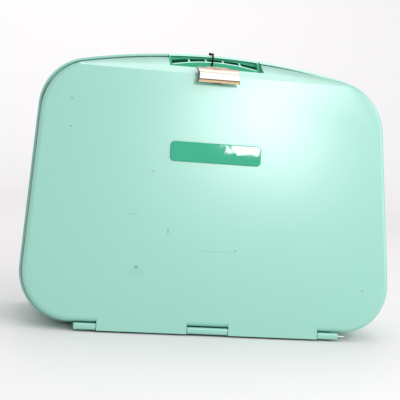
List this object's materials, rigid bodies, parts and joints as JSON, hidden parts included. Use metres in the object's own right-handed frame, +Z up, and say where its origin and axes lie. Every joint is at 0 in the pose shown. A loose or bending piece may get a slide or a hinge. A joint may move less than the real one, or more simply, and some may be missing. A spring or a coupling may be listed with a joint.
{
  "type": "carrying case",
  "caption": "Mint green hard plastic carrying case with a leaning hinged lid, a steel latch and a folding hand grip.",
  "frame": {"origin": "middle of the case on the surface that its feet stand on", "axes": "+X to the right of the lid, +Y from the lid to the rear, +Z up"},
  "size_m": [0.391, 0.174, 0.2968],
  "materials": {
    "case_plastic": "satin moulded",
    "grip_plastic": "satin moulded",
    "plate_plastic": "gloss",
    "latch_steel": "polished",
    "plated_steel": "plated",
    "foot_rubber": "matte",
    "tie_fabric": "woven"
  },
  "bodies": {
    "root": {"rear_shell": "case_plastic", "hinge_rod": "plated_steel", "handle_housing": "grip_plastic", "handle_pin": "plated_steel", "handle_clip": "plated_steel", "housing_screw": "plated_steel", "strike_plate": "plated_steel", "strike_screw": "plated_steel", "foot": "foot_rubber", "foot_screw": "plated_steel"},
    "lid": {"front_lid": "case_plastic", "name_plate": "plate_plastic", "latch_bracket": "plated_steel", "latch_pin": "plated_steel", "latch_spring": "plated_steel", "latch_backing_plate": "plated_steel", "latch_rivet": "plated_steel"},
    "latch": {"latch_lever": "latch_steel", "latch_claw": "plated_steel"},
    "grip": {"handle": "grip_plastic", "tie_cord": "tie_fabric", "tie_knot": "tie_fabric"}
  },
  "joints": [
    {"name": "lid_hinge", "type": "hinge", "parent": "root", "child": "lid", "pos_m": [0, -0.08338, 0.0055], "axis": [1, 0, 0], "range_deg": [0, 96]},
    {"name": "latch_hinge", "type": "hinge", "parent": "lid", "child": "latch", "pos_m": [-0.002, -0.03202, 0.27692], "axis": [-1, 0, 0], "range_deg": [-5.5, 30]},
    {"name": "grip_hinge", "type": "hinge", "parent": "root", "child": "grip", "pos_m": [0, 0.03079, 0.273], "axis": [-1, 0, 0], "range_deg": [0, 68]}
  ]
}
